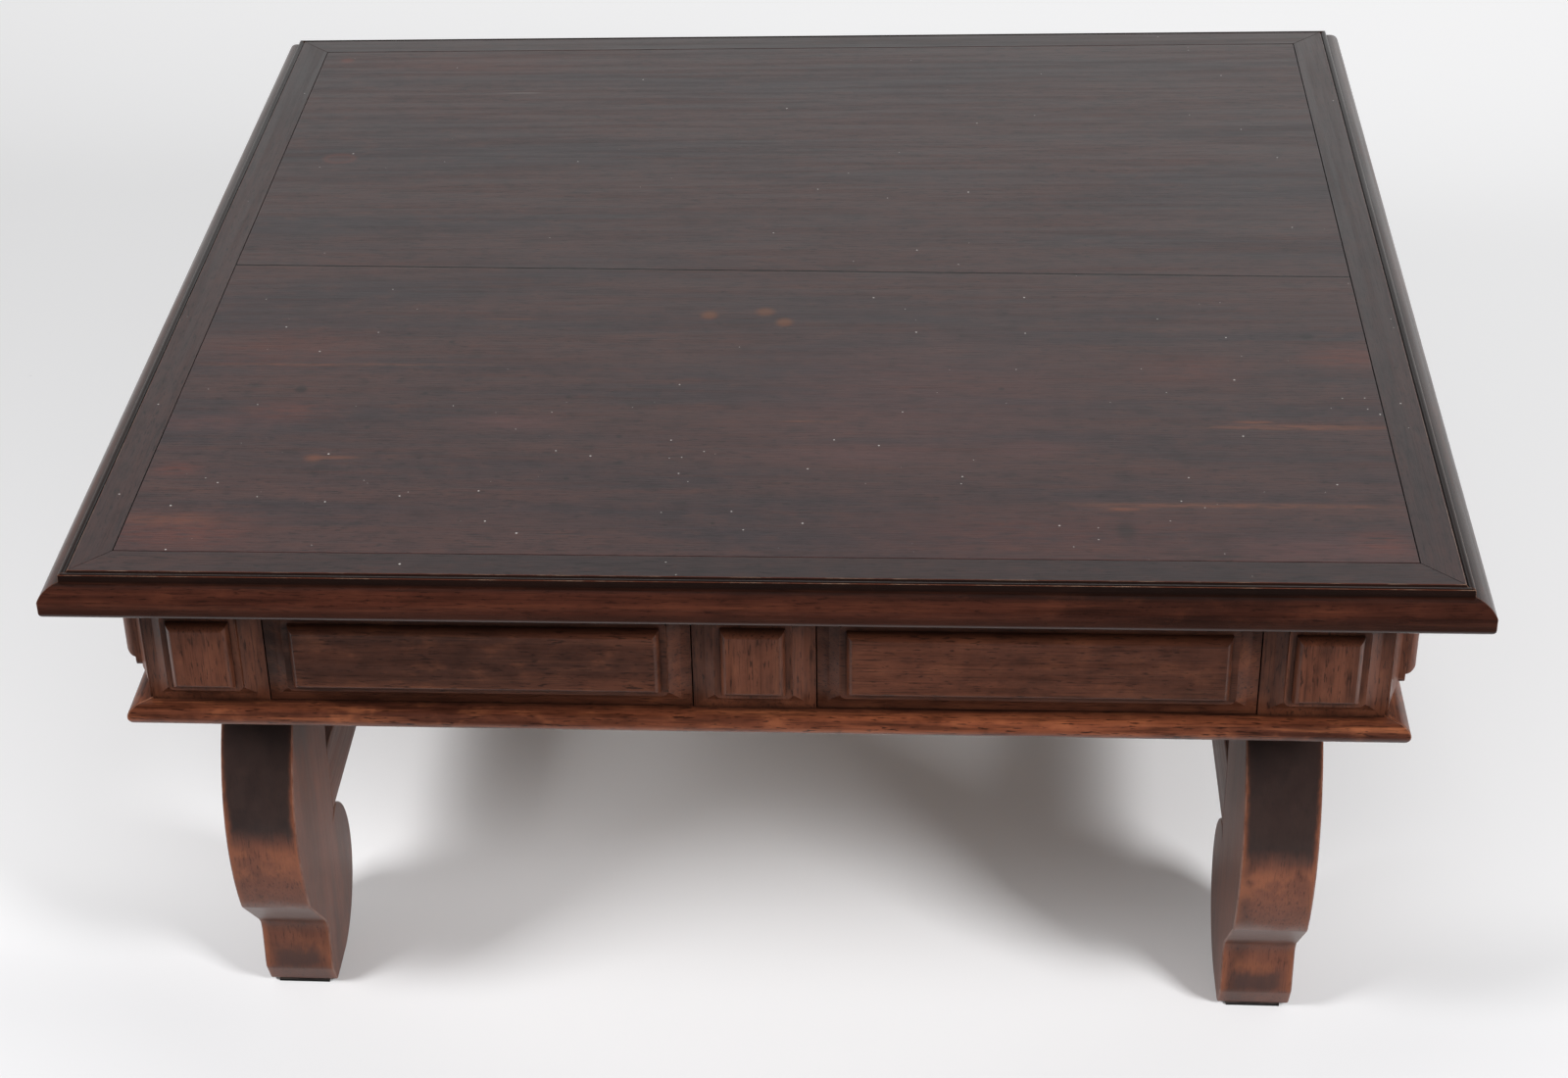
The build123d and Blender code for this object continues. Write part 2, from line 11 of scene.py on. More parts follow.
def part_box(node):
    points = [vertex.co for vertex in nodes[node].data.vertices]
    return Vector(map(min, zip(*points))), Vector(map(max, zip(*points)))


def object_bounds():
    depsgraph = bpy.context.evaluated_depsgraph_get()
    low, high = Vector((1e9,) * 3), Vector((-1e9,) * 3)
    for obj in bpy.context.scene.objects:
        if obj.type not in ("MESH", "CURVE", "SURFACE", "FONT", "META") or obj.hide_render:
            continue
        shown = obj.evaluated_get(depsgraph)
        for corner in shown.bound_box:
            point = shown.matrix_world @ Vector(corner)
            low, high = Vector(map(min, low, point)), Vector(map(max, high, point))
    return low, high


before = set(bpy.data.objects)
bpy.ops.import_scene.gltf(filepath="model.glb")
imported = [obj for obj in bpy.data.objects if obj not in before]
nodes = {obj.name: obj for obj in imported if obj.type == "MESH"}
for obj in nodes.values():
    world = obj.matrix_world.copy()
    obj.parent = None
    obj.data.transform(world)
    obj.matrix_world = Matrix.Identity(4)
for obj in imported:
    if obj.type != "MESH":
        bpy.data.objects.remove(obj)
cad_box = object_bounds()
scene = bpy.context.scene

# ---------------------------------------------------------------- camera, from the photograph
photo_width = 1600            # pixels, the frame that focal length and centre are given in
photo_height = 1100
focal_pixels = 3100.7
centre_pixels = (592.0, 645.7)
camera_place = Vector((0.1174, -2.2451, 1.6042))
camera_pitch = math.radians(33.122)
camera_yaw = math.radians(7.627)
camera_roll = math.radians(-3.470)
sensor_width = 36.0           # millimetres

# ---------------------------------------------------------------- places worked out from the frame
top_level = cad_box[1].z
base_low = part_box("base_frame_front")[0].z
case_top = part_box("drawer_left_front")[1].z
leg_inner, leg_outer = (corner.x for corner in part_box("leg_front_right"))
top_half = cad_box[1].x
board_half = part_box("top_board_front")[1].x
board_joint_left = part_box("top_board_front")[1].y
board_joint_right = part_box("top_board_rear")[0].y
frame_flat_half = top_half - 0.0195      # out to here the top frame is flat
bead_foot = top_level - 0.0066           # below the bead and its fillet the ovolo starts
ovolo_foot = top_level - 0.0155

# ---------------------------------------------------------------- heights of wear, lacquer, painted shadow and painted sheen
overhang_shadow_start = case_top - 0.023            # the case's slopes carry a painted shadow of the overhang from here up
overhang_shadow_full = case_top - 0.013
grey_slopes_full = case_top - 0.034             # and are greyer from here down where they face up
grey_slopes_end = case_top - 0.024
lacquer_edge = base_low - 0.142          # down to here the legs keep their black lacquer
lacquer_full = lacquer_edge + 0.026
bare_high = lacquer_edge + 0.006         # worn to orange at the lacquer's edge
bare_low = lacquer_edge - 0.026
# between these heights the knee carries a painted pale sheen
knee_high = lacquer_edge - 0.062
knee_low = lacquer_edge - 0.106
ankle_high = 0.066
ankle_low = 0.047
toe_high = 0.054
toe_low = 0.036

# ---------------------------------------------------------------- joint of the two top boards
joint_finest = 0.0006                    # half widths
joint_widest = 0.0017

# ---------------------------------------------------------------- light
ambient_level = 0.36
paper_level = 0.85            # white behind the table, as the camera sees it
backdrop_level = 1.05         # white behind the table, as the gloss sees it
backdrop_lean = 0.6           # how much brighter it is to the right
backdrop_start = -0.1         # in directions with this Y the backdrop starts
backdrop_full = 0.5
backdrop_low = 0.42           # up to directions with this Z it has its full level
backdrop_high = 0.565
backdrop_top = 0.10           # share of it that is left above that
room_level = 0.10             # the dim room in front, as the gloss sees it
paper_end = -0.60             # in front of this the gloss sees no paper
paper_fade = 0.3
paper_half = 14.0             # half the side of the floor
lamp_target = Vector((0.0, -0.1, 0.35))
lamp_size = 0.65
left_lamp_place = Vector((-1.53, -1.25, 1.57))
left_lamp_power = 42.0
right_lamp_place = Vector((1.74, -1.79, 1.60))
right_lamp_power = 68.0

# ---------------------------------------------------------------- arrises
weld_distance = 1e-5
flat_angle = math.radians(1)
arris_angle = math.radians(35)
arris_segments = 2
fibre_relief = 0.00004


# ================================================================ node graphs
class Graph:
    """A node tree.  Each method adds nodes and returns the result's socket."""

    def __init__(self, tree):
        self.tree = tree

    def add(self, kind, **settings):
        made = self.tree.nodes.new(kind)
        for key, value in settings.items():
            setattr(made, key, value)
        return made

    def put(self, socket, value):
        """Wires a socket into another, or writes a plain number or colour into it."""
        if isinstance(value, bpy.types.NodeSocket):
            self.tree.links.new(value, socket)
        else:
            socket.default_value = value

    def split(self, vector):
        made = self.add("ShaderNodeSeparateXYZ")
        self.put(made.inputs[0], vector)
        return made.outputs

    def math(self, operation, first, second=0.0, third=0.0):
        made = self.add("ShaderNodeMath", operation=operation)
        for socket, value in zip(made.inputs, (first, second, third)):
            self.put(socket, value)
        return made.outputs[0]

    def plus(self, base, value, share):
        """A base with a share of a value added."""
        return self.math("MULTIPLY_ADD", value, share, base)

    def greater(self, first, second):
        return self.math("MAXIMUM", first, second)

    def times(self, *factors):
        product = factors[0]
        for factor in factors[1:]:
            product = self.math("MULTIPLY", product, factor)
        return product

    def span(self, value, low, high, to_low=0.0, to_high=1.0):
        """Smooth step of a value from one range to another."""
        made = self.add("ShaderNodeMapRange", interpolation_type="SMOOTHSTEP", clamp=True)
        for socket, setting in zip(made.inputs, (value, low, high, to_low, to_high)):
            self.put(socket, setting)
        return made.outputs[0]

    def band(self, value, low, high, soft):
        """1 between two values, with soft borders."""
        above = self.span(value, low - soft, low + soft)
        below = self.span(value, high + soft, high - soft)
        return self.times(above, below)


class Finish(Graph):
    """One material, with textures in the object's own coordinates."""

    def __init__(self, name):
        self.material = bpy.data.materials.new(name)
        self.material.use_nodes = True
        super().__init__(self.material.node_tree)
        self.shader = self.tree.nodes["Principled BSDF"]
        self.place = self.add("ShaderNodeTexCoord").outputs["Object"]

    def scaled(self, scale, offset=(0.0, 0.0, 0.0)):
        made = self.add("ShaderNodeMapping", vector_type="POINT")
        self.put(made.inputs["Vector"], self.place)
        made.inputs["Scale"].default_value = scale
        made.inputs["Location"].default_value = offset
        return made.outputs[0]

    def noise(self, scale, seed=0.0, detail=3.0, roughness=0.5, distortion=0.0):
        """Fractal noise with its own frequency along each axis, in features per metre."""
        made = self.add("ShaderNodeTexNoise", noise_dimensions="3D")
        self.put(made.inputs["Vector"], self.scaled(scale, (seed, seed * 1.7, seed * 0.6)))
        made.inputs["Scale"].default_value = 1.0
        made.inputs["Detail"].default_value = detail
        made.inputs["Roughness"].default_value = roughness
        made.inputs["Distortion"].default_value = distortion
        return made.outputs[0]

    def mix(self, factor, first, second):
        made = self.add("ShaderNodeMix", data_type="RGBA")
        self.put(made.inputs["Factor"], factor)
        self.put(made.inputs[6], first)
        self.put(made.inputs[7], second)
        return made.outputs[2]

    def specks(self, spacing, radius, share, seed):
        """Scattered round specks: 1 inside a speck.  `share` is how many cells have one."""
        cells = self.add("ShaderNodeTexVoronoi", feature="F1")
        self.put(cells.inputs["Vector"], self.scaled((1 / spacing,) * 3, (seed, seed, seed)))
        cells.inputs["Scale"].default_value = 1.0
        chance = self.add("ShaderNodeSeparateColor")
        self.put(chance.inputs[0], cells.outputs["Color"])
        size = self.math("MULTIPLY", chance.outputs["Green"], radius / spacing)
        inside = self.math("LESS_THAN", cells.outputs["Distance"], size)
        chosen = self.math("LESS_THAN", chance.outputs["Red"], share)
        return self.times(inside, chosen)

    def ellipse(self, centre, radii, softness):
        """1 inside an ellipse seen from above, falling to 0 over `softness` of its radius."""
        offset = (-centre[0] / radii[0], -centre[1] / radii[1], 0.0)
        length = self.add("ShaderNodeVectorMath", operation="LENGTH")
        self.put(length.inputs[0], self.scaled((1 / radii[0], 1 / radii[1], 0.0), offset))
        return self.span(length.outputs["Value"], 1.0 + softness, 1.0 - softness)

    def facing_up(self):
        """How squarely the surface faces up; below 0 it faces down."""
        return self.split(self.add("ShaderNodeNewGeometry").outputs["True Normal"])[2]

    def facing_front(self):
        """How squarely the surface faces the front or the back."""
        normal = self.add("ShaderNodeNewGeometry").outputs["True Normal"]
        return self.math("ABSOLUTE", self.split(normal)[1])

    def dirt_and_shade_in_corners(self, colour, reach, strength):
        """Adds dirt and painted shade to a colour in corners, grooves and joints, out to `reach` from
        them.
        """
        openness = self.add("ShaderNodeAmbientOcclusion", samples=4)
        openness.inputs["Distance"].default_value = reach
        # painted shade and dirt: the less open a point, the darker
        dirt = self.span(openness.outputs["AO"], 0.30, 0.90, strength, 0.0)
        return self.mix(dirt, colour, grime_and_shade)

    def finish(self, colour, roughness, relief, specular, depth=fibre_relief):
        """Wires the shader; a `relief` of 1 stands `depth` metres high."""
        bumped = self.add("ShaderNodeBump")
        bumped.inputs["Strength"].default_value = 1.0
        bumped.inputs["Distance"].default_value = depth
        self.put(bumped.inputs["Height"], relief)
        self.put(self.shader.inputs["Base Color"], colour)
        self.put(self.shader.inputs["Roughness"], roughness)
        self.put(self.shader.inputs["Normal"], bumped.outputs[0])
        self.shader.inputs["Specular IOR Level"].default_value = specular
        return self.material


# ================================================================ tones
def rgb(red, green, blue):
    return (red, green, blue, 1.0)


def shade(colour, factor):
    """A colour made darker or lighter."""
    return rgb(*(factor * part for part in colour[:3]))


class Tone:
    """Colours and gloss of one group of pieces."""

    def __init__(self, dark, middle, light, roughness, specular, arris,
                 streaks=1.0, pores=1.0, dirt=0.0, shaded_under_top=False):
        self.dark, self.middle, self.light = rgb(*dark), rgb(*middle), rgb(*light)
        self.roughness = roughness
        self.specular = specular
        self.arris = arris            # width of the rounded arris
        self.streaks = streaks        # how strongly the streaks show
        self.pores = pores            # and the pores, flecks and mottle
        self.dirt = dirt              # how dark the corners are, with dirt and painted shade
        self.shaded_under_top = shaded_under_top    # painted shadow below the overhang of the top, and greyer upward slopes lower down


# near black of dirt in joints and specks; also the painted shade in corners and under the overhang
grime_and_shade = rgb(0.007, 0.0040, 0.0034)
dust = rgb(0.42, 0.40, 0.38)
dirt_and_shade_reach = 0.006            # dirt and painted shade fill corners this far out

tones = {
    "panel": Tone(
        (0.025, 0.0150, 0.0172), (0.046, 0.0210, 0.0192), (0.070, 0.0285, 0.0215),
        roughness=0.36, specular=0.5, arris=0.0002, streaks=0.4, pores=1.0),
    "rim": Tone(
        (0.022, 0.0135, 0.0140), (0.037, 0.0182, 0.0167), (0.052, 0.0220, 0.0170),
        roughness=0.33, specular=0.5, arris=0.0003, streaks=0.4, pores=1.0),
    "edge": Tone(
        (0.016, 0.0052, 0.0033), (0.041, 0.0112, 0.0062), (0.080, 0.0230, 0.0110),
        roughness=0.25, specular=0.32, arris=0.0003, streaks=0.75, pores=0.6, dirt=0.85),
    "case": Tone(
        (0.036, 0.0128, 0.0076), (0.076, 0.0238, 0.0120), (0.128, 0.0430, 0.0195),
        roughness=0.36, specular=0.35, arris=0.0007, streaks=0.5, pores=0.9, dirt=0.9, shaded_under_top=True),
    "block": Tone(
        (0.044, 0.0152, 0.0088), (0.089, 0.0285, 0.0145), (0.145, 0.0500, 0.0240),
        roughness=0.38, specular=0.35, arris=0.0007, streaks=0.45, pores=0.9, dirt=0.9, shaded_under_top=True),
    "base": Tone(
        (0.046, 0.0140, 0.0080), (0.140, 0.0400, 0.0180), (0.245, 0.0800, 0.0340),
        roughness=0.33, specular=0.35, arris=0.0008, pores=1.0, dirt=0.75),
    "leg": Tone(
        (0.066, 0.0225, 0.0130), (0.110, 0.0365, 0.0205), (0.160, 0.0560, 0.0285),
        roughness=0.40, specular=0.25, arris=0.0012, streaks=0.18, pores=0.7, dirt=0.5),
    "inner": Tone(
        (0.20, 0.115, 0.065), (0.30, 0.19, 0.115), (0.37, 0.25, 0.16),
        roughness=0.62, specular=0.3, arris=0.0004, streaks=0.6, dirt=0.6),
    "pad": Tone(
        (0.008, 0.008, 0.008), (0.012, 0.011, 0.011), (0.020, 0.019, 0.018),
        roughness=0.95, specular=0.1, arris=0.0004),
}


# ================================================================ wood
def along_grain(axis, along, across):
    """Frequencies that stretch a texture along one axis."""
    return tuple(along if name == axis else across for name in "XYZ")


def wood_colour(wood, axis, seed, tone):
    """Board colour from broad bands down to pores; also gives the streaks and the relief."""
    bands = wood.noise(along_grain(axis, 2.2, 21.0), seed, roughness=0.55, distortion=0.3)
    streaks = wood.noise(along_grain(axis, 6.0, 150.0), seed + 3.1, roughness=0.6)
    fibres = wood.noise(along_grain(axis, 28.0, 900.0), seed + 7.7, detail=2.0, roughness=0.6)
    flecks = wood.noise(along_grain(axis, 95.0, 620.0), seed + 5.9, detail=2.0, roughness=0.6)
    mottle = wood.noise(along_grain(axis, 45.0, 80.0), seed + 8.3, roughness=0.6)
    shadow = shade(tone.dark, 0.35)
    colour = wood.mix(wood.span(bands, 0.32, 0.60), tone.dark, tone.middle)
    colour = wood.mix(wood.span(mottle, 0.50, 0.72, 0.0, 0.35 * tone.pores), colour, tone.light)
    colour = wood.mix(wood.span(mottle, 0.50, 0.28, 0.0, 0.45 * tone.pores), colour, shadow)
    colour = wood.mix(wood.span(streaks, 0.50, 0.78, 0.0, 0.8 * tone.streaks), colour, tone.light)
    colour = wood.mix(wood.span(streaks, 0.50, 0.28, 0.0, 0.7 * tone.streaks), colour, shadow)
    colour = wood.mix(wood.span(fibres, 0.48, 0.30, 0.0, 0.6 * tone.pores), colour, shadow)
    colour = wood.mix(wood.span(flecks, 0.42, 0.32, 0.0, 0.9 * tone.pores), colour, shadow)
    return colour, streaks, wood.plus(fibres, flecks, 0.8)


def streaky_gloss(wood, streaks, tone, smoother, rougher):
    """Roughness that wavers with the streaks, by so much below and above the tone's own."""
    return wood.span(streaks, 0.3, 0.7, tone.roughness - smoother, tone.roughness + rougher)


def below_the_top(wood, colour, streaks):
    """A painted shadow of the top's overhang on the slopes close under it, and a greyer colour on lower
    slopes that face up.
    """
    level = wood.plus(wood.split(wood.place)[2], streaks, 0.004)
    sloped = wood.span(wood.facing_front(), 0.985, 0.93)
    # painted shadow of the top's overhang, near black on the slopes
    overhang_shadow = wood.span(level, overhang_shadow_start, overhang_shadow_full)
    colour = wood.mix(wood.times(overhang_shadow, sloped, 0.93), colour, grime_and_shade)
    clear_of_overhang_shadow = wood.span(level, grey_slopes_full, grey_slopes_end, 0.40, 0.0)
    dull = wood.times(wood.span(wood.facing_up(), 0.10, 0.45), clear_of_overhang_shadow)
    return wood.mix(dull, colour, rgb(0.088, 0.069, 0.064))


def plain_wood(name, axis, seed, tone):
    """A finished hardwood without marks of its own."""
    wood = Finish(name)
    colour, streaks, relief = wood_colour(wood, axis, seed, tone)
    if tone.dirt:
        # dirt and painted shade in corners, grooves and joints
        colour = wood.dirt_and_shade_in_corners(colour, dirt_and_shade_reach, tone.dirt)
    # painted shadow under the top's overhang
    if tone.shaded_under_top:
        colour = below_the_top(wood, colour, streaks)
    gloss = streaky_gloss(wood, streaks, tone, 0.05, 0.06)
    return wood.finish(colour, gloss, relief, tone.specular)


def worn_and_highlit_arris(name, axis, seed, tone):
    """Lighter wood along an arris: rubbed wear with a painted highlight."""
    wood = Finish(name)
    colour, streaks, relief = wood_colour(wood, axis, seed, tone)
    rubbed = wood.noise((60.0, 60.0, 60.0), seed, roughness=0.6)
    # pale for both rubbed wear and a painted highlight on the arris
    pale = wood.mix(0.6, shade(tone.light, 1.6), rgb(0.13, 0.095, 0.080))
    colour = wood.mix(wood.span(rubbed, 0.38, 0.64, 0.10, 0.70), colour, pale)
    return wood.finish(colour, tone.roughness - 0.04, relief, 1.2 * tone.specular)


def from_board_joint(wood):
    """How far a point is from the joint of the two boards, which runs out of square."""
    x, y, _ = wood.split(wood.place)
    slope = (board_joint_right - board_joint_left) / (2 * board_half)
    line = wood.plus((board_joint_right + board_joint_left) / 2, x, slope)
    return wood.math("ABSOLUTE", wood.math("SUBTRACT", y, line))


def joint_colour(wood, tone):
    """Colour of the panel's joints: filled and faint, dark and open at the right and the front left."""
    x = wood.split(wood.place)[0]
    grit = wood.noise((70.0, 70.0, 70.0), 5.0, roughness=0.6)
    right_end = wood.span(x, 0.38, 0.42)
    front_left = wood.ellipse((-0.45, -0.38), (0.03, 0.11), 0.3)
    between_boards = wood.span(from_board_joint(wood), 0.004, 0.002)
    opened = wood.greater(wood.greater(right_end, front_left), between_boards)
    dark = wood.greater(opened, wood.span(grit, 0.50, 0.68))
    return wood.mix(wood.times(dark, 0.9), tone.middle, shade(grime_and_shade, 1.3))


def joint_arris(name, tone):
    """Rounded edges of a board."""
    wood = Finish(name)
    grit = wood.noise((250.0, 250.0, 250.0), 5.0)
    return wood.finish(joint_colour(wood, tone), tone.roughness + 0.1, grit, tone.specular)


# ================================================================ top
def use_marks():
    """Marks of use on the panel, as ellipses seen from above: centre, radii, softness, strength, colour.

    The first group is broken up by the grain, the second isn't.
    """
    red = rgb(0.098, 0.026, 0.017)
    rosy = rgb(0.088, 0.035, 0.034)
    orange = rgb(0.150, 0.050, 0.023)
    brown = rgb(0.100, 0.036, 0.016)
    black = rgb(0.010, 0.007, 0.007)
    pale = rgb(0.16, 0.14, 0.13)
    thin_finish = (
        ((-0.382, -0.152), (0.060, 0.036), 0.90, 0.38, red),
        ((-0.362, -0.249), (0.036, 0.014), 0.80, 0.55, red),
        ((-0.416, -0.269), (0.045, 0.012), 0.90, 0.40, rosy),
        ((-0.432, -0.338), (0.017, 0.009), 0.80, 0.60, red),
        ((-0.412, -0.428), (0.050, 0.022), 0.85, 0.60, red),
        ((-0.420, -0.410), (0.030, 0.007), 0.85, 0.25, orange),
        ((-0.192, -0.266), (0.034, 0.010), 0.85, 0.45, rosy),
        ((-0.310, 0.420), (0.080, 0.022), 0.90, 0.35, red),
        ((0.108, -0.224), (0.110, 0.080), 0.90, 0.30, rosy),
        ((0.067, -0.312), (0.055, 0.012), 0.85, 0.35, rosy),
        ((0.199, -0.303), (0.022, 0.010), 0.85, 0.40, rosy),
        ((0.318, -0.182), (0.036, 0.018), 0.90, 0.40, red),
        ((0.436, -0.160), (0.028, 0.016), 0.85, 0.60, red),
        ((0.199, -0.420), (0.110, 0.028), 0.90, 0.35, red),
        ((0.396, -0.438), (0.054, 0.016), 0.85, 0.45, rosy),
        ((0.432, -0.427), (0.017, 0.014), 0.85, 0.50, red))
    streaks = (
        ((0.392, -0.268), (0.056, 0.0035), 0.80, 0.60, orange),
        ((0.359, -0.260), (0.012, 0.0020), 0.70, 0.60, orange),
        ((0.330, -0.380), (0.100, 0.0030), 0.80, 0.50, orange),
        ((0.257, -0.386), (0.013, 0.0022), 0.70, 0.60, orange),
        ((0.035, -0.262), (0.022, 0.0016), 0.70, 0.40, orange),
        ((-0.334, -0.175), (0.100, 0.0020), 0.80, 0.40, orange))
    stains = (
        ((-0.401, 0.210), (0.015, 0.010), 0.25, 0.55, red),
        ((-0.401, 0.210), (0.011, 0.007), 0.25, 0.60, tones["panel"].dark),
        ((-0.431, 0.433), (0.006, 0.005), 0.50, 0.80, red),
        ((-0.052, -0.091), (0.006, 0.0065), 0.60, 0.90, brown),
        ((-0.008, -0.085), (0.007, 0.0065), 0.60, 0.80, brown),
        ((0.008, -0.103), (0.006, 0.0065), 0.60, 0.90, brown),
        ((-0.332, -0.321), (0.006, 0.0045), 0.80, 0.50, orange),
        ((-0.315, -0.320), (0.015, 0.0025), 0.80, 0.40, orange),
        ((-0.360, -0.215), (0.0045, 0.0055), 0.50, 0.75, black),
        ((-0.398, -0.209), (0.0050, 0.0040), 0.60, 0.50, black),
        ((0.410, -0.126), (0.0045, 0.0055), 0.50, 0.75, black),
        ((0.259, -0.416), (0.0065, 0.0110), 0.60, 0.65, black))
    spots = tuple(
        (place, (0.0022, 0.0022), 0.50, 0.75, black)
        for place in (
            (-0.289, -0.124), (-0.253, -0.137), (-0.262, -0.221), (-0.232, -0.248), (-0.299, -0.274),
            (-0.107, -0.286), (-0.140, -0.348), (-0.103, -0.325), (-0.151, -0.226), (0.176, -0.211)))
    scratches = (
        ((0.430, -0.422), (0.009, 0.0009), 0.50, 0.90, black),
        ((0.323, -0.448), (0.012, 0.0009), 0.50, 0.90, black),
        ((-0.190, -0.444), (0.010, 0.0009), 0.50, 0.80, black),
        ((-0.210, -0.098), (0.022, 0.0008), 0.60, 0.60, brown),
        ((0.405, -0.459), (0.007, 0.0016), 0.60, 0.80, pale),
        ((-0.254, 0.353), (0.016, 0.0009), 0.60, 0.60, pale))
    return thin_finish + streaks, stains + spots + scratches


def board_wood(name, axis, seed, tone):
    """The panel's boards: quiet bands, marks of use, small dark spots and dust."""
    wood = Finish(name)
    colour, streaks, relief = wood_colour(wood, axis, seed, tone)
    ragged = wood.noise((60.0, 260.0, 60.0), 9.0, detail=4.0, roughness=0.65)
    broken = wood.span(ragged, 0.32, 0.62, 0.25, 1.0)
    patches, stains = use_marks()
    for place, radii, softness, strength, mark in patches:
        shape = wood.times(wood.ellipse(place, radii, softness), broken)
        colour = wood.mix(wood.times(shape, strength), colour, mark)
    for place, radii, softness, strength, mark in stains:
        colour = wood.mix(wood.times(wood.ellipse(place, radii, softness), strength), colour, mark)
    dark_specks = wood.specks(spacing=0.045, radius=0.0019, share=0.35, seed=3.0)
    colour = wood.mix(wood.times(dark_specks, 0.7), colour, grime_and_shade)
    width = wood.span(ragged, 0.35, 0.65, joint_finest, joint_widest)
    joint = wood.math("LESS_THAN", from_board_joint(wood), width)
    colour = wood.mix(joint, colour, shade(grime_and_shade, 0.7))
    return dusty(wood, colour, streaks, relief, tone)


def dusty(wood, colour, streaks, relief, tone):
    """Finishes a top surface with dust, thicker towards the front, most of all left of its middle."""
    y = wood.split(wood.place)[1]
    thickest = wood.ellipse((-0.24, -0.37), (0.15, 0.10), 0.9)
    share = wood.math("ADD", wood.span(y, 0.1, -0.45, 0.07, 0.24), wood.times(thickest, 0.34))
    specks = wood.specks(spacing=0.0085, radius=0.00085, share=share, seed=8.0)
    colour = wood.mix(wood.times(specks, 0.9), colour, dust)
    gloss = streaky_gloss(wood, streaks, tone, 0.04, 0.06)
    return wood.finish(colour, gloss, relief, tone.specular, depth=1.6 * fibre_relief)


def rim_wood(name, axis, seed, tone):
    """The flat of the top frame."""
    wood = Finish(name)
    colour, streaks, relief = wood_colour(wood, axis, seed, tone)
    return dusty(wood, colour, streaks, relief, tone)


def edge_wood(name, axis, seed, tone):
    """The moulded edge: nearly black at the bead, reddish on the ovolo, with painted shade under it."""
    wood = Finish(name)
    colour, streaks, relief = wood_colour(wood, axis, seed, tone)
    waver = wood.noise(along_grain(axis, 12.0, 90.0), seed + 2.0, roughness=0.6)
    level = wood.plus(wood.split(wood.place)[2], waver, 0.0012)
    bead = wood.span(level, bead_foot - 0.0004, bead_foot + 0.0018, 0.0, 0.85)
    colour = wood.mix(bead, colour, rgb(0.0055, 0.0030, 0.0024))
    # painted shade where the moulding turns under
    lower = wood.span(level, ovolo_foot - 0.0010, ovolo_foot - 0.0070, 0.0, 0.55)
    colour = wood.mix(lower, colour, rgb(0.019, 0.0072, 0.0046))
    # dirt and painted shade in the quirk and corners
    colour = wood.dirt_and_shade_in_corners(colour, dirt_and_shade_reach / 2, tone.dirt)
    gloss = streaky_gloss(wood, streaks, tone, 0.05, 0.08)
    return wood.finish(colour, gloss, relief, tone.specular)


def frame_arris(name, axis, seed, tone):
    """Rounded edges of a top frame member: dull at the joints; along the moulding rubbed and dusty, its
    pale colour partly wear and partly a painted highlight.
    """
    wood = Finish(name)
    x, y, _ = wood.split(wood.place)
    out = wood.greater(wood.math("ABSOLUTE", x), wood.math("ABSOLUTE", y))
    moulding = wood.span(out, frame_flat_half - 0.0016, frame_flat_half - 0.0008)
    rubbed = wood.noise((40.0, 40.0, 40.0), seed, detail=4.0, roughness=0.7)
    reddish = rgb(0.060, 0.017, 0.009)
    sandy = rgb(0.130, 0.080, 0.055)
    # the sandy pale is partly wear and partly a painted highlight
    light = wood.mix(wood.span(rubbed, 0.45, 0.70), reddish, sandy)
    specks = wood.specks(spacing=0.012, radius=0.0011, share=0.25, seed=seed)
    light = wood.mix(wood.times(specks, 0.8), light, dust)
    colour = wood.mix(moulding, joint_colour(wood, tone), light)
    return wood.finish(colour, tone.roughness, rubbed, 0.3)


# ================================================================ legs
def worn_front(wood, colour, level, from_edge, patchy):
    """Wear on the front of a leg: orange at the lacquer's edge and the arrises, dark toe, and a pale
    knee that is a painted sheen.
    """
    orange = rgb(0.205, 0.068, 0.031)
    front = wood.span(wood.facing_front(), 0.35, 0.6)
    worn = wood.span(patchy, 0.38, 0.62)
    bare = wood.band(level, bare_low, bare_high, 0.010)
    colour = wood.mix(wood.times(bare, worn, front, 0.60), colour, orange)
    rubbed_edge = wood.span(wood.plus(from_edge, patchy, 0.008), 0.011, 0.003)
    colour = wood.mix(wood.times(rubbed_edge, front, 0.48), colour, orange)
    # painted sheen: a pale band on the knee standing in for a reflection of the floor
    knee = wood.band(level, knee_low, knee_high, 0.010)
    colour = wood.mix(wood.times(knee, front, 0.74), colour, rgb(0.185, 0.140, 0.128))
    ankle = wood.band(level, ankle_low, ankle_high, 0.007)
    colour = wood.mix(wood.times(ankle, worn, front, 0.5), colour, shade(orange, 0.8))
    toe = wood.times(wood.band(level, toe_low, toe_high, 0.006), wood.span(from_edge, 0.003, 0.015))
    return wood.mix(wood.times(toe, front, 0.80), colour, rgb(0.032, 0.017, 0.015))


def lacquered(wood, colour, height, level, from_edge, patchy, ragged):
    """Black lacquer high on a leg, worn off along its arrises, more so further down."""
    high = wood.span(level, lacquer_edge, lacquer_full)
    worn_rim = wood.span(height, lacquer_edge + 0.090, lacquer_edge + 0.010, 0.0, 0.004)
    inset = wood.plus(wood.plus(from_edge, ragged, 0.004), patchy, 0.006)
    inside = wood.span(wood.math("SUBTRACT", inset, worn_rim), 0.002, 0.008)
    black = rgb(0.0150, 0.0108, 0.0104)
    rubbed = rgb(0.0205, 0.0140, 0.0128)
    lacquer = wood.mix(wood.span(patchy, 0.35, 0.65), black, rubbed)
    return wood.mix(wood.times(high, inside, 0.93), colour, lacquer)


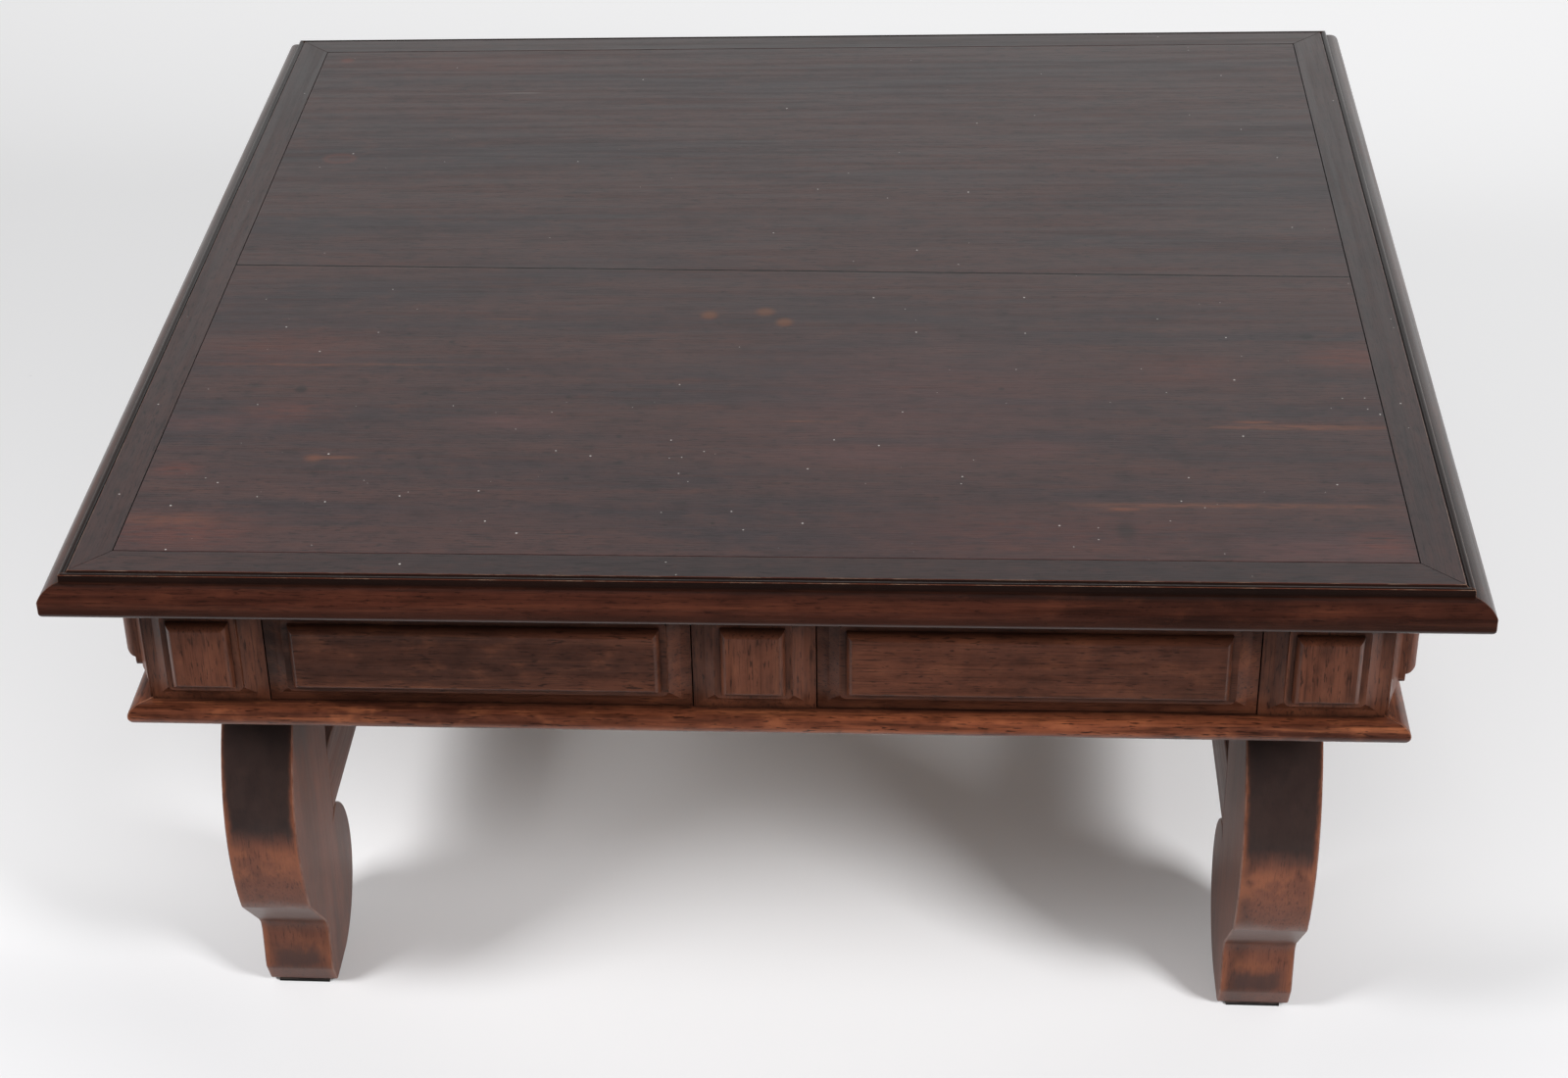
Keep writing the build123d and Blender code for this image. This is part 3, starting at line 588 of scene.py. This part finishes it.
def leg_wood(name, axis, seed, tone):
    """Leg wood: a worn front below black lacquer."""
    wood = Finish(name)
    colour, streaks, relief = wood_colour(wood, axis, seed, tone)
    x, _, height = wood.split(wood.place)
    across = wood.math("ABSOLUTE", x)
    from_inner = wood.math("SUBTRACT", across, leg_inner)
    from_outer = wood.math("SUBTRACT", leg_outer, across)
    from_edge = wood.math("MINIMUM", from_inner, from_outer)
    ragged = wood.noise(along_grain(axis, 26.0, 420.0), seed + 1.3, detail=4.0, roughness=0.65)
    patchy = wood.noise(along_grain(axis, 34.0, 48.0), seed + 4.3, roughness=0.6)
    level = wood.plus(wood.plus(height, ragged, 0.006), patchy, 0.016)
    colour = worn_front(wood, colour, level, from_edge, patchy)
    colour = lacquered(wood, colour, height, level, from_edge, patchy, ragged)
    # dirt and painted shade in corners
    colour = wood.dirt_and_shade_in_corners(colour, dirt_and_shade_reach, tone.dirt)
    gloss = streaky_gloss(wood, streaks, tone, 0.01, 0.02)
    return wood.finish(colour, gloss, relief, tone.specular)


# ================================================================ soft arrises on the CAD nodes
class Geometry(Graph):
    """A modifier's node tree, from the mesh that comes in to the one that goes out."""

    def __init__(self, name):
        super().__init__(bpy.data.node_groups.new(name, "GeometryNodeTree"))
        for way in ("INPUT", "OUTPUT"):
            self.tree.interface.new_socket(name="Mesh", in_out=way, socket_type="NodeSocketGeometry")
        self.mesh = self.add("NodeGroupInput").outputs[0]
        self.result = self.add("NodeGroupOutput").inputs[0]

    def compare(self, operation, value, limit):
        made = self.add("FunctionNodeCompare", data_type="FLOAT", operation=operation)
        self.put(made.inputs["A"], value)
        self.put(made.inputs["B"], limit)
        return made.outputs[0]


def arris_marker(name, flat_level=None):
    """Modifier tree that marks the convex arrises for the bevel and keeps creases crisp.

    Faces below `flat_level` take the third material.
    """
    graph = Geometry(name)
    angle = graph.add("GeometryNodeInputMeshEdgeAngle").outputs
    convex = graph.compare("GREATER_THAN", angle["Signed Angle"], arris_angle)
    crisp = graph.compare("GREATER_THAN", angle["Unsigned Angle"], arris_angle)
    weight = graph.add("GeometryNodeStoreNamedAttribute", data_type="FLOAT", domain="EDGE")
    weight.inputs["Name"].default_value = "bevel_weight_edge"
    graph.put(weight.inputs["Geometry"], graph.mesh)
    graph.put(weight.inputs["Value"], convex)
    normal = graph.add("GeometryNodeSetMeshNormal", mode="SHARPNESS")
    normal.inputs["Remove Custom"].default_value = True
    normal.inputs["Face Sharpness"].default_value = False
    graph.put(normal.inputs["Mesh"], weight.outputs["Geometry"])
    graph.put(normal.inputs["Edge Sharpness"], crisp)
    mesh = normal.outputs[0]
    if flat_level is not None:
        lower = graph.add("GeometryNodeSetMaterialIndex")
        lower.inputs["Material Index"].default_value = 2
        height = graph.split(graph.add("GeometryNodeInputPosition").outputs[0])[2]
        graph.put(lower.inputs["Geometry"], mesh)
        graph.put(lower.inputs["Selection"], graph.compare("LESS_THAN", height, flat_level))
        mesh = lower.outputs[0]
    graph.put(graph.result, mesh)
    return graph.tree


def soften(node, marker, width):
    """Rounds the outer arrises of a CAD node with modifiers; the new faces take the second material."""
    weld = node.modifiers.new("weld", "WELD")
    weld.merge_threshold = weld_distance
    flats = node.modifiers.new("merge_flats", "DECIMATE")
    flats.decimate_type = "DISSOLVE"
    flats.angle_limit = flat_angle
    mark = node.modifiers.new("mark_arrises", "NODES")
    mark.node_group = marker
    bevel = node.modifiers.new("soft_arrises", "BEVEL")
    bevel.limit_method = "WEIGHT"
    bevel.width = width
    bevel.segments = arris_segments
    bevel.use_clamp_overlap = True
    bevel.material = 1
    normals = node.modifiers.new("flat_faces_stay_flat", "WEIGHTED_NORMAL")
    normals.keep_sharp = True


# ================================================================ which finish goes where
def grain_axis(name):
    """The direction in which a node's wood runs."""
    if name.startswith(("leg", "corner_post", "middle_block")):
        return "Z"
    along_depth = ("bearer", "stretcher", "top_batten", "drawer_guide", "drawer_runner", "side_panel")
    if name.startswith(along_depth):
        return "Y"
    if name.startswith(("top_frame", "base_frame")) and name.endswith(("left", "right")):
        return "Y"
    if "_side_" in name and name.startswith("drawer"):
        return "Y"
    return "X"


def tone_of(name):
    """Which tone a node has."""
    starts = (
        ("top_board", "panel"), ("top_frame", "rim"), ("base_frame", "base"), ("leg", "leg"),
        ("bearer_left", "leg"), ("bearer_right", "leg"), ("stretcher", "leg"), ("corner_post", "block"),
        ("middle_block", "block"), ("side_panel", "case"), ("back_panel", "case"), ("foot_pad", "pad"))
    for start, tone in starts:
        if name.startswith(start):
            return tone
    return "case" if name in ("drawer_left_front", "drawer_right_front") else "inner"


def dress(name, node, markers, seed):
    """Gives a CAD node its wood, and softens its arrises."""
    axis = grain_axis(name)
    kind = tone_of(name)
    tone = tones[kind]
    makers = {"panel": board_wood, "rim": rim_wood}
    make = leg_wood if name.startswith("leg") else makers.get(kind, plain_wood)
    slots = node.data.materials
    slots.clear()
    slots.append(make("wood_" + name, axis, seed, tone))
    if kind == "panel":
        slots.append(joint_arris("joint_" + name, tone))
    elif kind == "rim":
        slots.append(frame_arris("arris_" + name, axis, seed, tone))
        slots.append(edge_wood("edge_" + name, axis, seed, tones["edge"]))
    else:
        slots.append(worn_and_highlit_arris("arris_" + name, axis, seed, tone))
    soften(node, markers["frame" if kind == "rim" else "plain"], tone.arris)


# ================================================================ studio
def make_camera():
    """The photograph's view: an off-centre crop of a level studio shot, looking down on the table."""
    forward = Vector((
        -math.sin(camera_yaw) * math.cos(camera_pitch),
        math.cos(camera_yaw) * math.cos(camera_pitch),
        -math.sin(camera_pitch)))
    level = Vector((math.cos(camera_yaw), math.sin(camera_yaw), 0.0))
    down = forward.cross(level)
    right = level * math.cos(camera_roll) - down * math.sin(camera_roll)
    down = level * math.sin(camera_roll) + down * math.cos(camera_roll)
    data = bpy.data.cameras.new("camera")
    data.sensor_width = sensor_width
    data.lens = focal_pixels / photo_width * sensor_width
    data.shift_x = (photo_width / 2 - centre_pixels[0]) / photo_width
    data.shift_y = (centre_pixels[1] - photo_height / 2) / photo_width
    camera = bpy.data.objects.new("camera", data)
    axes = Matrix((right, -down, -forward)).transposed().to_4x4()
    camera.matrix_world = Matrix.Translation(camera_place) @ axes
    scene.collection.objects.link(camera)
    scene.camera = camera


def paper_material():
    """White paper, a little worn; camera and gloss see it lit more evenly away from the table."""
    paper = Finish("paper")
    x, y, _ = paper.split(paper.place)
    path = paper.add("ShaderNodeLightPath").outputs
    near_white = rgb(0.838, 0.838, 0.848)
    under_table = rgb(0.700, 0.700, 0.710)
    in_front = rgb(0.625, 0.625, 0.635)
    scuff = rgb(0.30, 0.30, 0.30)
    dark = rgb(0.06, 0.06, 0.06)
    away = paper.math("SUBTRACT", 1.0, paper.ellipse((0.0, 0.0), (0.52, 0.52), 0.22))
    tone = paper.mix(paper.span(y, -0.12, -0.50), near_white, under_table)
    tone = paper.mix(paper.times(away, paper.span(y, -0.18, -0.40)), tone, in_front)
    scuffs = paper.specks(spacing=0.09, radius=0.0030, share=0.22, seed=4.0)
    tone = paper.mix(paper.times(scuffs, 0.16), tone, scuff)
    beyond = paper.times(path["Is Glossy Ray"], paper.span(y, paper_end, paper_end - paper_fade))
    tone = paper.mix(beyond, tone, dark)

    to_front = paper.math("SUBTRACT", -0.9, y)
    to_side = paper.math("SUBTRACT", paper.math("ABSOLUTE", x), 0.9)
    reach = paper.greater(paper.greater(y, to_front), to_side)
    slant = paper.plus(paper.plus(0.082, reach, 0.15), x, 0.038)
    slant = paper.math("MINIMUM", paper.greater(slant, 0.0), 0.45)
    lift = paper.math("ADD", paper.times(away, slant), 0.02)
    seen = paper.greater(path["Is Camera Ray"], path["Is Glossy Ray"])
    seen = paper.math("SUBTRACT", seen, beyond)
    paper.shader.inputs["Emission Color"].default_value = rgb(1.0, 1.0, 1.0)
    paper.put(paper.shader.inputs["Emission Strength"], paper.times(lift, seen))
    grit = paper.noise((700.0, 700.0, 700.0))
    return paper.finish(tone, 0.9, grit, 0.2, depth=0.00002)


def make_floor():
    """The paper under and behind the table."""
    corners = [(x * paper_half, y * paper_half, 0) for x, y in ((-1, -1), (1, -1), (1, 1), (-1, 1))]
    mesh = bpy.data.meshes.new("floor")
    mesh.from_pydata(corners, [], [(0, 1, 2, 3)])
    floor = bpy.data.objects.new("floor", mesh)
    scene.collection.objects.link(floor)
    mesh.materials.append(paper_material())


def make_lamp(name, place, power):
    """A square soft box that points at the table, left out of the gloss."""
    data = bpy.data.lights.new(name, "AREA")
    data.energy = power
    data.size = lamp_size
    lamp = bpy.data.objects.new(name, data)
    lamp.visible_glossy = False
    lamp.location = place
    lamp.rotation_euler = (lamp_target - place).to_track_quat("-Z", "Y").to_euler()
    scene.collection.objects.link(lamp)


def make_world():
    """Even light from all round; the gloss sees a white backdrop behind and a dim room in front."""
    world = bpy.data.worlds.new("studio")
    scene.world = world
    world.use_nodes = True
    graph = Graph(world.node_tree)
    background = world.node_tree.nodes["Background"]
    background.inputs["Color"].default_value = rgb(1.0, 1.0, 1.0)
    x, y, z = graph.split(graph.add("ShaderNodeTexCoord").outputs["Generated"])
    behind = graph.span(y, backdrop_start, backdrop_full, 0.0, backdrop_level - room_level)
    lean = graph.plus(1.0, x, backdrop_lean)
    fade = graph.span(z, backdrop_high, backdrop_low, backdrop_top, 1.0)
    glossy = graph.math("ADD", graph.times(behind, lean, fade), room_level)
    path = graph.add("ShaderNodeLightPath").outputs
    level = ambient_level
    for ray, seen in (("Is Glossy Ray", glossy), ("Is Camera Ray", paper_level)):
        choice = graph.add("ShaderNodeMix")
        graph.put(choice.inputs[0], path[ray])
        graph.put(choice.inputs[2], level)
        graph.put(choice.inputs[3], seen)
        level = choice.outputs[0]
    graph.put(background.inputs["Strength"], level)


make_camera()
make_floor()
make_world()
make_lamp("left_lamp", left_lamp_place, left_lamp_power)
make_lamp("right_lamp", right_lamp_place, right_lamp_power)
markers = {
    "plain": arris_marker("mark_arrises"),
    "frame": arris_marker("mark_frame_arrises", flat_level=top_level - 0.0002)}
for number, (name, node) in enumerate(sorted(nodes.items())):
    dress(name, node, markers, seed=number * 1.37)
scene.view_settings.view_transform = "Standard"
